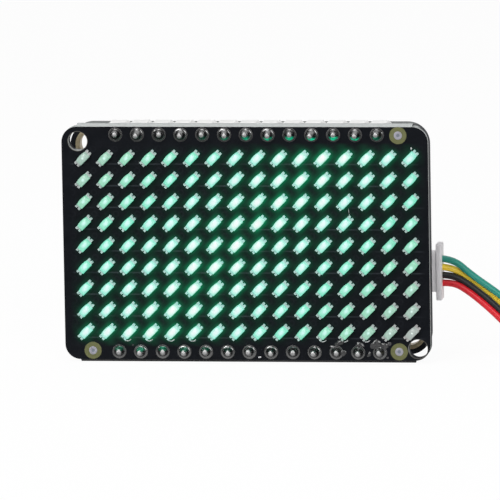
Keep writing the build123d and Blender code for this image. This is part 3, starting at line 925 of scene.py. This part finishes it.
# Socket. A moulded nylon shell at the right end of the driver board's back, which takes the plug.
# It is soldered on by its tinned contacts and by a tab on each side.
nylon = new_moulding("nylon", (0.78, 0.76, 0.78), (0.90, 0.88, 0.90), 0.40, 0.60, 0.15)
dress("socket_shell", nylon)
round_edges("socket_shell", 0.12)
dress("socket_contacts", pin_tin)
dress("socket_tabs", pin_tin)

# Plugs. Nylon housings with a stop flange, one pushed home in the socket and one on the lead's far end.
# Each wire ends inside in a crimped contact, and narrow slots part the wires on the housing's face.
dress("far_plug", nylon)
round_edges("far_plug", 0.1)
dress("near_plug_crimps", pin_tin)
dress("far_plug_crimps", pin_tin)
plug_low, plug_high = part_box("near_plug")
plug_middle = (plug_low + plug_high) / 2
flange = (0.66 * mm, plug_high.y - plug_low.y, plug_high.z - plug_low.z)
body_deep = 2.0 * mm
body_wide = 4.66 * mm
housing = bmesh.new()
flange_at = Matrix.Translation((plug_high.x - flange[0] / 2, plug_middle.y, plug_middle.z))
bmesh.ops.create_cube(housing, size=1.0, matrix=flange_at @ Matrix.Diagonal((*flange, 1)))
shoulder = [face for face in housing.faces if face.normal.x < -0.9]
neck = bmesh.ops.extrude_discrete_faces(housing, faces=shoulder)["faces"]
about_plug = Matrix.Translation(-plug_middle)
smaller = (1, body_deep / flange[1], body_wide / flange[2])
bmesh.ops.scale(housing, verts=neck[0].verts[:], vec=smaller, space=about_plug)
nose = bmesh.ops.extrude_discrete_faces(housing, faces=neck)["faces"]
bmesh.ops.translate(housing, verts=nose[0].verts[:], vec=(plug_low.x - plug_high.x + flange[0], 0, 0))
bmesh.ops.recalc_face_normals(housing, faces=housing.faces[:])
outer = [edge for edge in housing.edges if edge.is_convex]
bmesh.ops.bevel(
    housing, geom=outer, offset=0.12 * mm, affect="EDGES", segments=2, profile=0.5, material=-1
)
near_housing = keep_piece(housing, "near_plug_housing", [nylon], "connector_plastic", "near_plug")
# painted shade: the slots are thin dark blocks set on the housing's face
slot_shade = new_moulding("slot shade", (0.12, 0.12, 0.13), (0.22, 0.22, 0.23), 0.6, 0.8, 0.1)
slot_size = Matrix.Diagonal((0.42 * mm, 0.05 * mm, 0.3 * mm, 1))
slots = bmesh.new()
for z in (8.71, 9.71, 10.71):
    slot_at = Matrix.Translation(Vector((20.66, 2.37, z)) * mm)
    bmesh.ops.create_cube(slots, size=1.0, matrix=slot_at @ slot_size)
bmesh.ops.bevel(
    slots, geom=slots.edges[:], offset=0.015 * mm, affect="EDGES", segments=1, profile=0.5, material=-1
)
near_slots = keep_piece(slots, "near_plug_slots", [slot_shade], "connector_plastic")

# Lead. Four limp stranded wires in coloured insulation, which leave the plug together and sag to the table.
# The rest lies folded to the right, held by a tie, and ends in a second plug.
wire_tones = {
    "red": ((0.58, 0.008, 0.016), (0.76, 0.018, 0.032), 0.30, 0.46),
    "black": ((0.005, 0.005, 0.006), (0.014, 0.014, 0.015), 0.40, 0.55),
    "yellow": ((0.82, 0.53, 0.020), (0.95, 0.70, 0.060), 0.30, 0.46),
    "green": ((0.010, 0.205, 0.155), (0.024, 0.300, 0.235), 0.30, 0.46),
}
plug_x, plug_y, plug_z = 20.83, 3.37, 8.21
first_low, low_step = 0.42, 0.86
tie_from, tie_to, tie_thick = 49.2, 50.8, 0.3
far_plug_z = 1.8
drops = {
    "red": [(23.0, 0, 8.55), (25.2, 0, 7.28), (28.4, 0, 4.52), (32.0, 0, 0.6)],
    "black": [(23.0, 0, 9.40), (25.2, 0.2, 8.05), (28.4, 0.2, 5.47), (32.0, 0, 1.55)],
    "yellow": [(22.9, 0, 10.32), (25.0, 0.95, 8.68), (28.5, 0.95, 6.02), (32.1, 0.5, 2.4)],
    "green": [(23.1, 0, 11.3), (25.4, -0.15, 9.3), (28.6, -0.1, 7.08), (32.3, 0, 3.98)],
}
fold_out = [(37.0, 2.9), (43.0, 2.15)]
fold_round = [
    (57.0, 2.5), (63.5, 3.6), (68.3, 4.55), (72.57, 4.65), (74.53, 3.52), (75.3, 1.4), (74.53, -0.72),
    (72.57, -1.85), (68.2, -1.6), (62.5, -0.75), (56.5, 0.4),
]
tie_plastic = new_moulding("tie nylon", (0.010, 0.010, 0.010), (0.030, 0.030, 0.030), 0.35, 0.55, 0.2)
dress("lead_tie", tie_plastic)
round_edges("lead_tie", 0.1)
for i, (colour, drop) in enumerate(drops.items()):
    low = first_low + low_step * i
    over_tie = low + tie_thick
    plug_row = far_plug_z + i
    route = [(plug_x, plug_y, plug_z + i)]
    route += [(x, plug_y + back, z) for x, back, z in drop]
    route += [(x, y, low) for x, y in fold_out]
    route += [(tie_from, 1.93, over_tie), (tie_to, 1.93, over_tie)]
    route += [(x, y, low) for x, y in fold_round]
    route += [(tie_to, 1.0, over_tie), (tie_from, 0.9, over_tie)]
    route += [(44.5, 0.2, (low + plug_row) / 2), (41.2, -0.42, plug_row)]
    route += [(39.2, -0.6, plug_row), (36.8, -0.6, plug_row)]
    line = bpy.data.curves.new(f"{colour}_wire", "CURVE")
    line.dimensions = "3D"
    line.bevel_depth = 0.4 * mm
    line.bevel_resolution = 3
    line.resolution_u = 6
    line.use_fill_caps = True
    spline = line.splines.new("NURBS")
    spline.points.add(len(route) - 1)
    for point, (x, y, z) in zip(spline.points, route):
        point.co = (x * mm, y * mm, z * mm, 1)
    spline.order_u = 3
    spline.use_endpoint_u = True
    line.materials.append(new_moulding(f"{colour} insulation", *wire_tones[colour], 0.15))
    wire = set_down(f"{colour}_wire", line)
    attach(wire, "root")
    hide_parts(f"wire_{colour}", "lead_hank")
